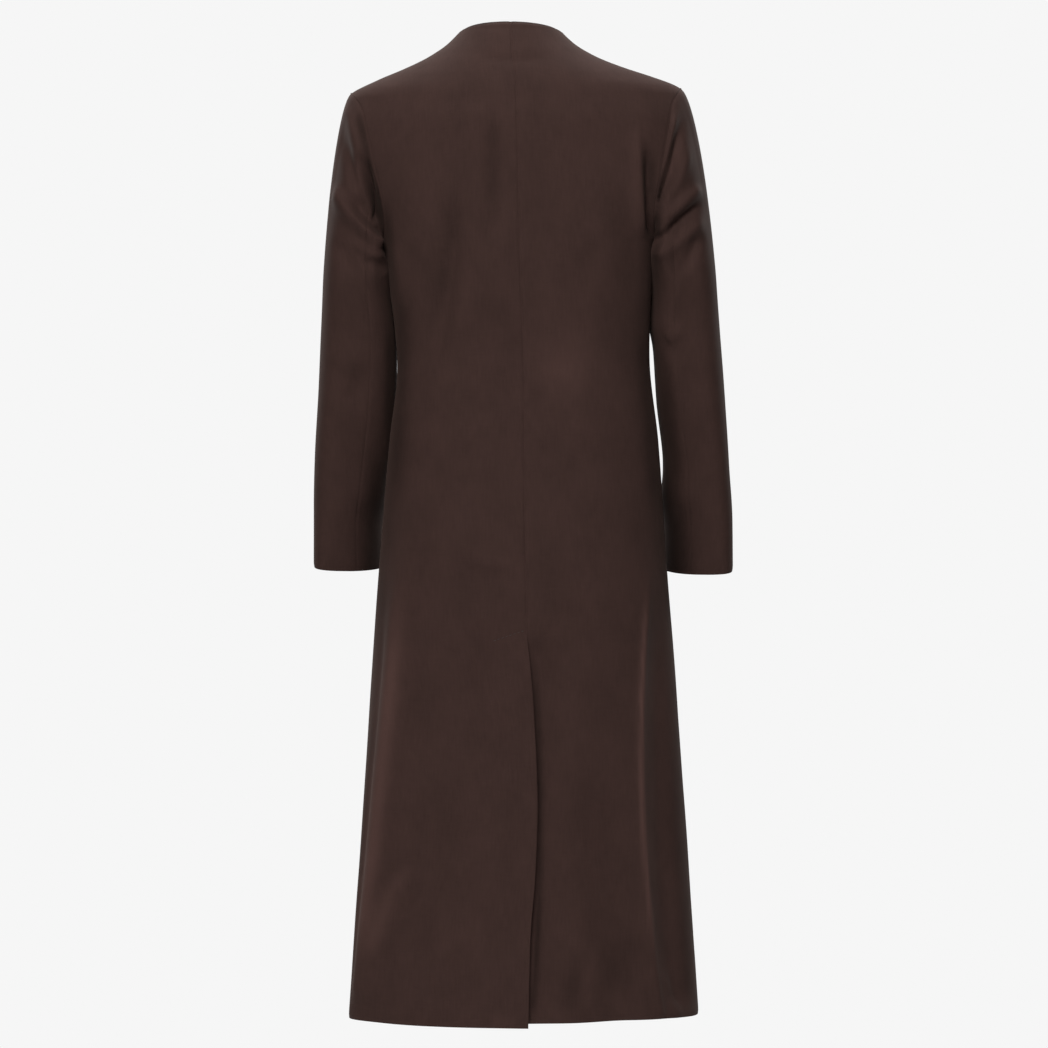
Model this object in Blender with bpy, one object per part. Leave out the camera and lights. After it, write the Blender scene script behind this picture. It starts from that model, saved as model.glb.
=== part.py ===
"""Long collarless coat in its worn, hollow form: two backs with a centre vent, two fronts, two-piece sleeves.

The centre back faces -Y, the wearer's right is +X, and the origin is midway between the shoulder tips.
"""

import bisect
import functools
import math
from collections import namedtuple

import bmesh
import bpy
from mathutils import Vector

# Cloth and seams, in metres
WALL = 0.002
SEAM_GAP = 0.0003
FRONT_GAP = 0.004

# Levels down the coat, in metres from the shoulder tips
NECK_POINT = 0.0735
SHOULDER_TIP = 0.0
UNDERARM = -0.190
VENT_TOP = -0.657
HEM = -1.128
NECK_BACK_RISE = 0.0085
NECK_RISE_POWER = 0.65
NECK_FRONT_BOTTOM = -0.145

# Armhole, an egg seen from the side
ARMHOLE_MID = (SHOULDER_TIP + UNDERARM) / 2
ARMHOLE_HALF = (SHOULDER_TIP - UNDERARM) / 2
ARMHOLE_BACK = 0.075
ARMHOLE_FRONT = 0.072
ARMHOLE_POWER = 2.6

# Vent at the centre back
VENT_UNDERLAP = 0.045
VENT_STEP = 0.008
VENT_CLEARANCE = 0.0009
VENT_FLAT = 0.014
VENT_EASE = 0.055
FLAP_EASE = 0.045

# Grid of each piece
SKIRT_ROWS = 8
WAIST_ROWS = 10
ARMHOLE_ROWS = 12
SHOULDER_ROWS = 7
PANEL_COLUMNS = 13
UNDERLAP_COLUMNS = 3
SLEEVE_COLUMNS = 24
CAP_ROWS = 9
ARM_ROWS = 11

# Where the seams run, in degrees: the side seam round the body, the other two round a sleeve
SIDE_SEAM = 90.0
HIND_SEAM = 105.0
FORE_SEAM = 255.0

# Small steps that read a surface's slope, in degrees, metres and shares of a row
TURN_STEP = 0.3
LEVEL_STEP = 0.0005
ROW_STEP = 0.002
LOOP_STEP = 3.0

# Small limits of shape: blunt end of a front at the neck, and where creases fade
NECK_BLUNT = 0.001
CREASE_FACING = 1.6
CREASE_START = 0.12

Section = namedtuple("Section", "level half_width back_depth front_depth power")
BODY = (
    Section(0.090, 0.0490, 0.046, 0.044, 2.20),
    Section(0.0735, 0.0625, 0.053, 0.050, 2.20),
    Section(0.0662, 0.0695, 0.057, 0.053, 2.20),
    Section(0.0564, 0.0805, 0.062, 0.057, 2.22),
    Section(0.0466, 0.0955, 0.067, 0.061, 2.24),
    Section(0.0392, 0.1090, 0.0705, 0.064, 2.26),
    Section(0.0270, 0.1370, 0.0765, 0.069, 2.30),
    Section(0.0147, 0.1690, 0.0825, 0.074, 2.35),
    Section(0.0, 0.2015, 0.0888, 0.081, 2.40),
    Section(-0.010, 0.2110, 0.0925, 0.085, 2.42),
    Section(-0.050, 0.2230, 0.104, 0.098, 2.48),
    Section(-0.120, 0.2010, 0.112, 0.120, 2.50),
    Section(-0.190, 0.1690, 0.113, 0.124, 2.48),
    Section(-0.230, 0.1620, 0.110, 0.120, 2.45),
    Section(-0.330, 0.1545, 0.097, 0.108, 2.40),
    Section(-0.426, 0.1645, 0.107, 0.109, 2.45),
    Section(-0.590, 0.1765, 0.124, 0.117, 2.55),
    Section(-0.745, 0.1885, 0.133, 0.124, 2.60),
    Section(-0.990, 0.2050, 0.148, 0.137, 2.60),
    Section(-1.128, 0.2130, 0.156, 0.146, 2.60),
)

# How the coat leans as it is worn: sideways shift, and rise for each metre to the right
Pose = namedtuple("Pose", "level shift tilt")
POSE = (
    Pose(0.085, -0.0115, 0.000),
    Pose(0.040, -0.0095, 0.004),
    Pose(0.0, -0.0048, 0.014),
    Pose(-0.190, -0.0005, 0.010),
    Pose(-0.380, 0.0050, -0.002),
    Pose(-0.590, 0.0040, -0.010),
    Pose(-0.870, 0.0043, -0.010),
    Pose(-1.128, 0.0060, -0.009),
)

FrontNeck = namedtuple("FrontNeck", "level half_width")
FRONT_NECK = (
    FrontNeck(0.0735, 0.0625),
    FrontNeck(0.0620, 0.0580),
    FrontNeck(0.0400, 0.0520),
    FrontNeck(0.0100, 0.0430),
    FrontNeck(-0.0500, 0.0270),
    FrontNeck(-0.1000, 0.0125),
    FrontNeck(NECK_FRONT_BOTTOM, FRONT_GAP / 2),
)

# Edge of the vent's flap: how far it reaches past the centre, and how far it lifts
VentEdge = namedtuple("VentEdge", "level reach lift")
VENT_EDGE = (
    VentEdge(-0.657, 0.0040, 0.0004),
    VentEdge(-0.745, 0.0120, 0.0020),
    VentEdge(-0.865, 0.0165, 0.0035),
    VentEdge(-0.943, 0.0137, 0.0025),
    VentEdge(-1.025, 0.0070, 0.0015),
    VentEdge(-1.128, 0.0040, 0.0010),
)

# Hem of the right half, which hangs a little higher: turn from the centre back and rise
HemRise = namedtuple("HemRise", "turn rise")
HEM_RISE = (
    HemRise(-20.0, 0.004),
    HemRise(0.0, 0.005),
    HemRise(50.0, 0.007),
    HemRise(90.0, 0.003),
    HemRise(150.0, 0.0),
    HemRise(180.0, 0.0),
)

# Long folds of the skirt: turn from the centre back towards the right, at the top and at the hem
SkirtFold = namedtuple("SkirtFold", "top turn_top turn_hem height spread")
SKIRT_FOLDS = (
    SkirtFold(-0.48, 62.0, 52.0, 0.009, 8.0),
    SkirtFold(-0.60, 52.0, 48.0, -0.022, 20.0),
    SkirtFold(-0.48, -64.0, -70.0, 0.009, 8.0),
    SkirtFold(-0.60, -86.0, -91.0, -0.004, 9.0),
    SkirtFold(-0.55, 120.0, 124.0, 0.009, 10.0),
    SkirtFold(-0.60, 145.0, 148.0, -0.006, 11.0),
    SkirtFold(-0.55, -116.0, -121.0, 0.008, 10.0),
    SkirtFold(-0.60, -140.0, -144.0, -0.006, 11.0),
)

# Rings of a sleeve below the armhole; outer and inner are distances from the coat's middle
Ring = namedtuple("Ring", "level outer inner ahead half_depth pitch")
SLEEVE_RIGHT = (
    Ring(-0.235, 0.2400, 0.1625, 0.014, 0.066, 2.0),
    Ring(-0.275, 0.2420, 0.1580, 0.020, 0.062, 3.0),
    Ring(-0.304, 0.2432, 0.1595, 0.022, 0.060, 5.0),
    Ring(-0.377, 0.2470, 0.1635, 0.030, 0.056, 7.0),
    Ring(-0.450, 0.2525, 0.1720, 0.040, 0.052, 9.0),
    Ring(-0.520, 0.2580, 0.1745, 0.051, 0.049, 9.0),
    Ring(-0.583, 0.2590, 0.1735, 0.061, 0.046, 8.0),
)
SLEEVE_LEFT = (
    Ring(-0.235, 0.2430, 0.1625, 0.014, 0.066, 2.0),
    Ring(-0.275, 0.2465, 0.1572, 0.024, 0.062, 4.0),
    Ring(-0.304, 0.2490, 0.1555, 0.030, 0.060, 5.0),
    Ring(-0.377, 0.2540, 0.1580, 0.038, 0.055, 8.0),
    Ring(-0.450, 0.2575, 0.1650, 0.048, 0.051, 9.0),
    Ring(-0.510, 0.2588, 0.1755, 0.057, 0.048, 9.0),
    Ring(-0.583, 0.2588, 0.1730, 0.068, 0.046, 8.0),
)

# How a sleeve leaves the armhole: lift from the body, and pull of each end of its curve
Leave = namedtuple("Leave", "phi lift start_pull end_pull")
LEAVE = (
    Leave(0.0, 4.0, 0.068, 0.190),
    Leave(90.0, 38.0, 0.060, 0.110),
    Leave(180.0, 112.0, 0.030, 0.030),
)

# Main creases of the sleeves, seen from the back: from and to, distance out and level
SleeveFold = namedtuple("SleeveFold", "side face out_a level_a out_b level_b height half_width")
SLEEVE_FOLDS = (
    SleeveFold(-1, -1, 0.212, -0.027, 0.173, -0.151, 0.004, 0.013),
    SleeveFold(-1, -1, 0.228, -0.124, 0.181, -0.163, 0.005, 0.014),
    SleeveFold(-1, -1, 0.214, -0.150, 0.170, -0.200, -0.006, 0.014),
    SleeveFold(-1, 1, 0.222, -0.120, 0.178, -0.170, -0.006, 0.015),
    SleeveFold(1, -1, 0.210, -0.040, 0.175, -0.124, -0.005, 0.013),
    SleeveFold(1, -1, 0.226, -0.126, 0.170, -0.176, -0.006, 0.014),
    SleeveFold(1, -1, 0.232, -0.085, 0.182, -0.150, 0.005, 0.014),
    SleeveFold(1, 1, 0.224, -0.115, 0.178, -0.175, -0.006, 0.015),
)

# Each piece's cloth: colour as red, green and blue, roughness and metallic value
CLOTH_COLOUR = (0.045, 0.026, 0.021, 1.0)
CLOTH_ROUGHNESS = 0.9
CLOTH_METALLIC = 0.0


class Curve:
    """A smooth line through one column of a table that never overshoots its rows."""

    def __init__(self, rows, key, column):
        ordered = sorted(rows, key=lambda row: getattr(row, key))
        self.at = [getattr(row, key) for row in ordered]
        self.value = [getattr(row, column) for row in ordered]
        spans = [b - a for a, b in zip(self.at, self.at[1:])]
        rates = [(b - a) / span for a, b, span in zip(self.value, self.value[1:], spans)]
        self.slope = [rates[0]]
        for before, after in zip(rates, rates[1:]):
            same_way = before * after > 0
            self.slope.append(2 * before * after / (before + after) if same_way else 0.0)
        self.slope.append(rates[-1])

    def __call__(self, at):
        at = min(max(at, self.at[0]), self.at[-1])
        i = min(max(bisect.bisect_right(self.at, at) - 1, 0), len(self.at) - 2)
        span = self.at[i + 1] - self.at[i]
        return hermite(
            (at - self.at[i]) / span,
            self.value[i],
            self.slope[i] * span,
            self.value[i + 1],
            self.slope[i + 1] * span,
        )


def hermite(t, start, start_pull, end, end_pull):
    """A cubic from start to end with the given pull at each end."""
    rest = 1 - t
    return (
        start * (rest * rest * (1 + 2 * t))
        + start_pull * (t * rest * rest)
        + end * (t * t * (3 - 2 * t))
        - end_pull * (t * t * rest)
    )


def ease(share):
    """Zero to one with level ends."""
    share = min(max(share, 0.0), 1.0)
    return share * share * (3 - 2 * share)


def between(start, end, count):
    """Evenly spaced values from start to end, both included."""
    return [start + (end - start) * i / count for i in range(count + 1)]


BODY_CURVES = [Curve(BODY, "level", name) for name in Section._fields[1:]]
SHIFT = Curve(POSE, "level", "shift")
TILT = Curve(POSE, "level", "tilt")
FRONT_NECK_WIDTH = Curve(FRONT_NECK, "level", "half_width")
RIGHT_HEM_RISE = Curve(HEM_RISE, "turn", "rise")
FLAP_REACH = Curve(VENT_EDGE, "level", "reach")
FLAP_LIFT = Curve(VENT_EDGE, "level", "lift")
LEAVE_CURVES = [Curve(LEAVE, "phi", name) for name in Leave._fields[1:]]
SLEEVE_CURVES = {
    side: [Curve(rings, "level", name) for name in Ring._fields[1:]]
    for side, rings in ((1, SLEEVE_RIGHT), (-1, SLEEVE_LEFT))
}


def posed(point):
    """Leans a point of the upright coat as the coat is worn."""
    level = point.z
    return Vector((point.x + SHIFT(level), point.y, level + TILT(level) * point.x))


@functools.lru_cache(maxsize=None)
def section(level):
    """Half width, back depth, front depth and roundness of the body at a level."""
    return tuple(curve(level) for curve in BODY_CURVES)


def skirt_fold(turn, level):
    """How far the skirt's long folds move its surface out at a turn and level."""
    moved = 0.0
    for fold in SKIRT_FOLDS:
        grown = min(max((fold.top - level) / (fold.top - HEM), 0.0), 1.0)
        middle = fold.turn_top + (fold.turn_hem - fold.turn_top) * grown
        moved += fold.height * ease(grown) * math.exp(-(((turn - middle) / fold.spread) ** 2))
    return moved


def body_point(turn, level):
    """A point of the body's outer face; turn is in degrees from the centre back towards the right."""
    half_width, back, front, power = section(level)
    across = math.sin(math.radians(turn))
    along = math.cos(math.radians(turn))
    depth = back if along > 0 else front
    radius = (abs(across / half_width) ** power + abs(along / depth) ** power) ** (-1 / power)
    radius += skirt_fold(turn, level)
    return Vector((radius * across, -radius * along, level))


def body_normal(turn, level):
    """The outward direction of the body's face."""
    around = body_point(turn + TURN_STEP, level) - body_point(turn - TURN_STEP, level)
    upward = body_point(turn, level + LEVEL_STEP) - body_point(turn, level - LEVEL_STEP)
    return around.cross(upward).normalized()


def degrees_across(distance, turn, level):
    """The turn that covers a distance along the body's face."""
    return math.degrees(distance / body_point(turn, level).xy.length)


def ring_turn(out, level, is_back):
    """The turn at which the body's ring is a given distance out from the middle."""
    half_width, back, front, power = section(level)
    depth = back if is_back else front
    along = depth * (1 - min(out / half_width, 1.0) ** power) ** (1 / power)
    return math.degrees(math.atan2(out, along if is_back else -along))


def armhole_spot(phi):
    """Turn and level of the armhole's edge; phi runs from the shoulder tip by the back to the underarm."""
    phi = phi % 360
    upright = math.cos(math.radians(phi))
    sideways = math.sin(math.radians(phi))
    is_back = sideways >= 0
    level = ARMHOLE_MID + ARMHOLE_HALF * math.copysign(abs(upright) ** (2 / ARMHOLE_POWER), upright)
    reach = ARMHOLE_BACK if is_back else ARMHOLE_FRONT
    ahead = reach * abs(sideways) ** (2 / ARMHOLE_POWER)
    half_width, back, front, power = section(level)
    depth = back if is_back else front
    out = half_width * (1 - (ahead / depth) ** power) ** (1 / power)
    return math.degrees(math.atan2(out, ahead if is_back else -ahead)), level


def panel_rows():
    """Each row of a panel from hem to shoulder, as its level and the armhole angle or none."""
    rows = [(level, None) for level in between(HEM, VENT_TOP - VENT_STEP, SKIRT_ROWS)]
    rows += [(VENT_TOP, None)]
    rows += [(level, None) for level in between(VENT_TOP, UNDERARM, WAIST_ROWS)[1:-1]]
    rows += [(None, phi) for phi in between(180.0, 0.0, ARMHOLE_ROWS)]
    rows += [(level, None) for level in between(SHOULDER_TIP, NECK_POINT, SHOULDER_ROWS)[1:]]
    return rows


def outer_edge(phi, level, is_back):
    """Turn and level of a panel's outer edge: the side seam, the armhole or the shoulder seam."""
    half_gap = degrees_across(SEAM_GAP / 2, SIDE_SEAM, level or SHOULDER_TIP)
    seam = SIDE_SEAM - half_gap if is_back else SIDE_SEAM + half_gap
    if phi is None:
        return seam, level
    turn, level = armhole_spot(phi if is_back else -phi)
    on_seam = phi in (0.0, 180.0)
    return seam if on_seam else turn, level


def neck_lift(turn, level):
    """How far a row of the back bends up to follow the neckline."""
    share = max(level - SHOULDER_TIP, 0.0) / (NECK_POINT - SHOULDER_TIP)
    return share * NECK_BACK_RISE * max(math.cos(math.radians(turn)), 0.0) ** NECK_RISE_POWER


def hem_lift(side, turn, level):
    """How far a row of the skirt bends up to follow the hem of the right half."""
    share = ease((VENT_TOP - level) / (VENT_TOP - HEM))
    return share * RIGHT_HEM_RISE(turn) if side > 0 else 0.0


def vent_inset(distance):
    """How deep the right back lies under the flap, by its distance from the centre."""
    return (WALL + VENT_CLEARANCE) * (1 - ease((distance - VENT_FLAT) / VENT_EASE))


def back_panel(side):
    """Outer and inner points of one back, by row and column, and the cells that are cloth."""
    is_flap = side < 0
    outer, inner, cells = {}, {}, []
    first = 0 if is_flap else -UNDERLAP_COLUMNS
    for row, (level, phi) in enumerate(panel_rows()):
        edge, level = outer_edge(phi, level, True)
        in_vent = level <= VENT_TOP
        start = degrees_across(SEAM_GAP / 2, 0.0, level)
        if is_flap and level < VENT_TOP:
            start = -degrees_across(FLAP_REACH(level), 0.0, level)
        for column in range(first if in_vent else 0, PANEL_COLUMNS + 1):
            if column < 0:
                turn = degrees_across(VENT_UNDERLAP * column / UNDERLAP_COLUMNS, 0.0, level)
            else:
                turn = start + (edge - start) * column / PANEL_COLUMNS
            height = level + neck_lift(turn, level) + hem_lift(side, turn, level)
            point = body_point(side * turn, height)
            normal = body_normal(side * turn, height)
            distance = math.copysign((point - body_point(0.0, height)).length, turn)
            if in_vent and is_flap:
                past = distance + FLAP_REACH(level)
                point += normal * FLAP_LIFT(level) * (1 - ease(past / FLAP_EASE))
            elif in_vent:
                point -= normal * vent_inset(distance)
            outer[row, column] = posed(point)
            inner[row, column] = posed(point - normal * WALL)
            cells.append((row, column))
    return outer, inner, cells


def front_panel(side):
    """Outer and inner points of one front, by row and column, and the cells that are cloth."""
    outer, inner, cells = {}, {}, []
    for row, (level, phi) in enumerate(panel_rows()):
        edge, level = outer_edge(phi, level, False)
        start = ring_turn(FRONT_GAP / 2, level, False)
        if level > NECK_FRONT_BOTTOM:
            start = ring_turn(FRONT_NECK_WIDTH(level - NECK_BLUNT), level, False)
        for column in range(PANEL_COLUMNS + 1):
            turn = start + (edge - start) * column / PANEL_COLUMNS
            height = level + hem_lift(side, turn, level)
            point = body_point(side * turn, height)
            normal = body_normal(side * turn, height)
            outer[row, column] = posed(point)
            inner[row, column] = posed(point - normal * WALL)
            cells.append((row, column))
    return outer, inner, cells


def ring_point(side, phi, level):
    """A point of a sleeve's ring below the armhole, on the right or mirrored to the left."""
    outer, inner, ahead, half_depth, pitch = (curve(level) for curve in SLEEVE_CURVES[side])
    back = half_depth * math.sin(math.radians(phi))
    out = (outer + inner) / 2 + (outer - inner) / 2 * math.cos(math.radians(phi))
    drop = back * math.tan(math.radians(pitch))
    return Vector((out, ahead - back, level - drop))


@functools.lru_cache(maxsize=None)
def sleeve_start(phi):
    """The sleeve's first point at the armhole on the right, and the way it leaves."""
    turn, level = armhole_spot(phi)
    edge = body_point(turn, level)
    normal = body_normal(turn, level)
    along = body_point(*armhole_spot(phi + LOOP_STEP)) - body_point(*armhole_spot(phi - LOOP_STEP))
    across = normal.cross(along).normalized()
    if across.dot(body_point(SIDE_SEAM, ARMHOLE_MID) - edge) < 0:
        across.negate()
    lift = math.radians(LEAVE_CURVES[0](180 - abs(180 - phi % 360)))
    leaving = across * math.cos(lift) + normal * math.sin(lift)
    gap = SEAM_GAP / max(math.sin(lift), math.cos(lift))
    return edge + leaving * gap, leaving


def sleeve_base(side, phi, row):
    """A point of a sleeve without its creases; row runs from 0 at the armhole to 1, and on to 2 at the cuff."""
    rings = SLEEVE_RIGHT if side > 0 else SLEEVE_LEFT
    top = rings[0].level
    if row >= 1:
        return ring_point(side, phi, top + (rings[-1].level - top) * (row - 1))
    start, leaving = sleeve_start(phi)
    end = ring_point(side, phi, top)
    falling = (ring_point(side, phi, top - LEVEL_STEP) - end).normalized()
    start_pull, end_pull = (curve(180 - abs(180 - phi % 360)) for curve in LEAVE_CURVES[1:])
    return hermite(row, start, leaving * start_pull, end, falling * end_pull)


def crease(side, point, normal):
    """How far a sleeve's creases move its surface out."""
    moved = 0.0
    for fold in SLEEVE_FOLDS:
        if fold.side != side:
            continue
        run = Vector((fold.out_b - fold.out_a, fold.level_b - fold.level_a))
        offset = Vector((point.x - fold.out_a, point.z - fold.level_a))
        share = offset.dot(run) / run.length_squared
        away = offset - run * min(max(share, 0.0), 1.0)
        facing = ease(normal.y * fold.face * CREASE_FACING)
        moved += fold.height * facing * math.exp(-((away.length / fold.half_width) ** 2))
    return moved


def sleeve_piece(side, start, end, columns):
    """Outer and inner points of one sleeve piece between two seams, by row and column, and its cells."""
    outer, inner, cells = {}, {}, []
    rows = between(0.0, 1.0, CAP_ROWS) + between(1.0, 2.0, ARM_ROWS)[1:]
    seam = math.degrees(SEAM_GAP / 2 / SLEEVE_RIGHT[-1].half_depth)
    for column, phi in enumerate(between(start, end, columns)):
        if column == 0:
            phi += seam
        elif column == columns:
            phi -= seam
        for index, row in enumerate(rows):
            point = sleeve_base(side, phi, row)
            low = max(row - ROW_STEP, 0.0)
            high = min(row + ROW_STEP, 2.0)
            downward = sleeve_base(side, phi, high) - sleeve_base(side, phi, low)
            around = sleeve_base(side, phi + TURN_STEP, row) - sleeve_base(side, phi - TURN_STEP, row)
            normal = around.cross(downward).normalized()
            if row > 0:
                point = point + normal * crease(side, point, normal) * ease(row / CREASE_START)
            turned = Vector((side, 1, 1))
            outer[index, column] = posed(point * turned)
            inner[index, column] = posed((point - normal * WALL) * turned)
            cells.append((index, column))
    return outer, inner, cells


def add_wall(name, outer, inner, cells):
    """Adds a closed wall of cloth from matching outer and inner points."""
    mesh = bmesh.new()
    skins = [{key: mesh.verts.new(point) for key, point in skin.items()} for skin in (outer, inner)]
    for row, column in cells:
        corners = ((row, column), (row, column + 1), (row + 1, column + 1), (row + 1, column))
        if all(corner in outer for corner in corners):
            mesh.faces.new([skins[0][corner] for corner in corners])
            mesh.faces.new([skins[1][corner] for corner in reversed(corners)])
    partner = {skins[0][key]: skins[1][key] for key in outer}
    rims = [edge for edge in mesh.edges if edge.is_boundary and edge.verts[0] in partner]
    for edge in rims:
        first, second = edge.verts
        mesh.faces.new((first, second, partner[second], partner[first]))
    bmesh.ops.recalc_face_normals(mesh, faces=mesh.faces)
    data = bpy.data.meshes.new(name)
    mesh.to_mesh(data)
    mesh.free()
    piece = bpy.data.objects.new(name, data)
    bpy.context.scene.collection.objects.link(piece)
    data.materials.append(cloth_material(name))


def cloth_material(name):
    """The dark brown wool cloth of one piece."""
    material = bpy.data.materials.new(name + "_cloth")
    material.use_nodes = True
    shader = material.node_tree.nodes["Principled BSDF"]
    shader.inputs["Base Color"].default_value = CLOTH_COLOUR
    shader.inputs["Roughness"].default_value = CLOTH_ROUGHNESS
    shader.inputs["Metallic"].default_value = CLOTH_METALLIC
    return material


def main():
    for old in list(bpy.data.objects):
        bpy.data.objects.remove(old)
    step = 360.0 / SLEEVE_COLUMNS
    under_columns = round((FORE_SEAM - HIND_SEAM) / step)
    for side, word in ((-1, "left"), (1, "right")):
        add_wall("back_" + word, *back_panel(side))
        add_wall("front_" + word, *front_panel(side))
        top = sleeve_piece(side, FORE_SEAM - 360.0, HIND_SEAM, SLEEVE_COLUMNS - under_columns)
        under = sleeve_piece(side, HIND_SEAM, FORE_SEAM, under_columns)
        add_wall("top_sleeve_" + word, *top)
        add_wall("under_sleeve_" + word, *under)


main()
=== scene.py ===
"""A long collarless coat of dark brown wool, seen from the back in a pale studio.

Eight cloth pieces follow the forms of the CAD frame: two backs, two fronts and two two-piece sleeves.
The centre back faces -Y, the wearer's right is +X, and sizes are metres where no table says millimetres.
"""

import math
from collections import namedtuple
from functools import partial

import bmesh
import bpy
import numpy as np
from mathutils import Matrix, Vector, noise


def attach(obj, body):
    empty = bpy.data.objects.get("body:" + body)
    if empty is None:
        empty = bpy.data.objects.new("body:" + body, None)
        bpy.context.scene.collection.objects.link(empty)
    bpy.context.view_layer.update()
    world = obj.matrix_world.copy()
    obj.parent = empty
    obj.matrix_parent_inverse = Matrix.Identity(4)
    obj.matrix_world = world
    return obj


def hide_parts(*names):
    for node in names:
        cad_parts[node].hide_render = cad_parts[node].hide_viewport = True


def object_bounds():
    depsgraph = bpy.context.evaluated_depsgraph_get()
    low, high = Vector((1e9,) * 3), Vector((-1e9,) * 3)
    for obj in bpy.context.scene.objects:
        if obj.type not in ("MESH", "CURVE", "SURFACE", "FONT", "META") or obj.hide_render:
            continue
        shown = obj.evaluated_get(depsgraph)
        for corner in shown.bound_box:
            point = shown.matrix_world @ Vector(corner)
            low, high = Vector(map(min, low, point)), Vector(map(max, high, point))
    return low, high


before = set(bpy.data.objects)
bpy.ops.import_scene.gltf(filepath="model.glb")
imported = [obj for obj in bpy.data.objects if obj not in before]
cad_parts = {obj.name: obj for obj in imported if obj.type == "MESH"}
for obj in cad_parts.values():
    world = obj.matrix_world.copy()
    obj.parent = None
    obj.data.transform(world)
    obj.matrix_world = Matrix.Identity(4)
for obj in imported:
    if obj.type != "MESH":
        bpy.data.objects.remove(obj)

CAD_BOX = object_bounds()

bl_info = {
    "name": "Collarless coat",
    "version": (1, 0, 0),
    "blender": (4, 5, 0),
    "location": "View3D > Sidebar > Coat",
    "description": "Builds the cloth of a long collarless coat and the studio around it",
    "category": "Object",
}

MM = 0.001
SIDES = ((-1, "left"), (1, "right"))

# Levels from the shoulder tips, and the shape of the neck's edge
NECK_POINT = 0.0735
SHOULDER_TIP = 0.0
UNDERARM = -0.190
VENT_TOP = -0.657
HEM = -1.128
NECK_BACK_RISE = 0.0085
NECK_RISE_POWER = 0.65
NECK_FRONT_BOTTOM = -0.145
NECK_BLUNT = 0.001
FRONT_GAP = 0.004

# Armhole, an egg seen from the side
ARMHOLE_MID = (SHOULDER_TIP + UNDERARM) / 2
ARMHOLE_HALF = (SHOULDER_TIP - UNDERARM) / 2
ARMHOLE_BACK = 0.075
ARMHOLE_FRONT = 0.072
ARMHOLE_POWER = 2.6

# Vent at the centre back: the underlap's width, its clearance behind the flap, and how much deeper it sinks
VENT_UNDERLAP = 0.045
VENT_CLEARANCE = 0.0009
VENT_SINK = 0.005

# Runs over which the vent forms: the flap lifts below the top and lies down away from its edge, and the
# underlap fades above the top, sinks below it and beside the centre, stays flat and eases back to the right
VENT_STEP = 0.008
FLAP_EASE = 0.045
VENT_FADE = 0.030
VENT_SINK_RUN = 0.025
UNDERLAP_RUN = 0.004
VENT_FLAT = 0.014
VENT_EASE = 0.055

# Where the seams run, in degrees: the side seam round the body, the other two round a sleeve
SIDE_SEAM = 90.0
HIND_SEAM = 105.0
FORE_SEAM = 255.0

# Steps that read a surface's slope, in degrees, metres and degrees round the armhole, and the points that
# measure the armhole's length, and a length too short to divide by
TURN_STEP = 0.3
LEVEL_STEP = 0.0005
LOOP_STEP = 3.0
ARMHOLE_STEPS = 361
TINY_LENGTH = 1e-12

# Grids of the pieces, the digits that tell their rows apart, and how far columns crowd towards a seam
BACK_GRID = (132, 356)
UNDERLAP_COLUMNS = 16
ALLOWANCE_COLUMNS = 3
FRONT_GRID = (64, 240)
TOP_SLEEVE_GRID = (88, 190)
UNDER_SLEEVE_GRID = (52, 170)
GRID_DIGITS = 6
CROWDING = 0.6

# Seam allowance that a back keeps inside its neighbours, how deep it tucks and how soon
ALLOWANCE = 0.006
TUCK = 0.0026
TUCK_RUN = 0.0015

# Shares of a back's columns at its outer seam and at the edge of its allowance by the centre seam, and the
# slack in telling columns apart
OUTER_SEAM = 1 - ALLOWANCE_COLUMNS / BACK_GRID[0]
CENTRE_TRIM = (UNDERLAP_COLUMNS - ALLOWANCE_COLUMNS) / BACK_GRID[0]
SHARE_SLACK = 1e-4

# How far from the shoulder seam the neck's edge reaches its full turn, and where allowances stop below it
NECK_DIP_RUN = 0.018
NECK_TRIM = 0.006

# Share of a panel's rows at which the armhole starts and ends
ARMHOLE_FROM = 0.66
ARMHOLE_TO = 0.84

Section = namedtuple("Section", "level half_width back_depth front_depth power")
BODY = (
    Section(0.090, 0.0490, 0.046, 0.044, 2.20),
    Section(0.0735, 0.0625, 0.053, 0.050, 2.20),
    Section(0.0662, 0.0695, 0.057, 0.053, 2.20),
    Section(0.0564, 0.0805, 0.062, 0.057, 2.22),
    Section(0.0466, 0.0955, 0.067, 0.061, 2.24),
    Section(0.0392, 0.1090, 0.0705, 0.064, 2.26),
    Section(0.0270, 0.1370, 0.0765, 0.069, 2.30),
    Section(0.0147, 0.1690, 0.0825, 0.074, 2.35),
    Section(0.0, 0.2015, 0.0888, 0.081, 2.40),
    Section(-0.010, 0.2110, 0.0925, 0.085, 2.42),
    Section(-0.050, 0.2230, 0.104, 0.098, 2.48),
    Section(-0.120, 0.2010, 0.112, 0.120, 2.50),
    Section(-0.190, 0.1690, 0.113, 0.124, 2.48),
    Section(-0.230, 0.1620, 0.110, 0.120, 2.45),
    Section(-0.330, 0.1545, 0.097, 0.108, 2.40),
    Section(-0.426, 0.1645, 0.107, 0.109, 2.45),
    Section(-0.590, 0.1765, 0.124, 0.117, 2.55),
    Section(-0.745, 0.1885, 0.133, 0.124, 2.60),
    Section(-0.990, 0.2050, 0.148, 0.137, 2.60),
    Section(-1.128, 0.2130, 0.156, 0.146, 2.60),
)

# How the coat leans as it is worn: sideways shift, and rise for each metre to the right
Pose = namedtuple("Pose", "level shift tilt")
POSE = (
    Pose(0.085, -0.0115, 0.000),
    Pose(0.040, -0.0095, 0.004),
    Pose(0.0, -0.0048, 0.014),
    Pose(-0.190, -0.0005, 0.010),
    Pose(-0.380, 0.0050, -0.002),
    Pose(-0.590, 0.0040, -0.010),
    Pose(-0.870, 0.0043, -0.010),
    Pose(-1.128, 0.0060, -0.009),
)

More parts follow.
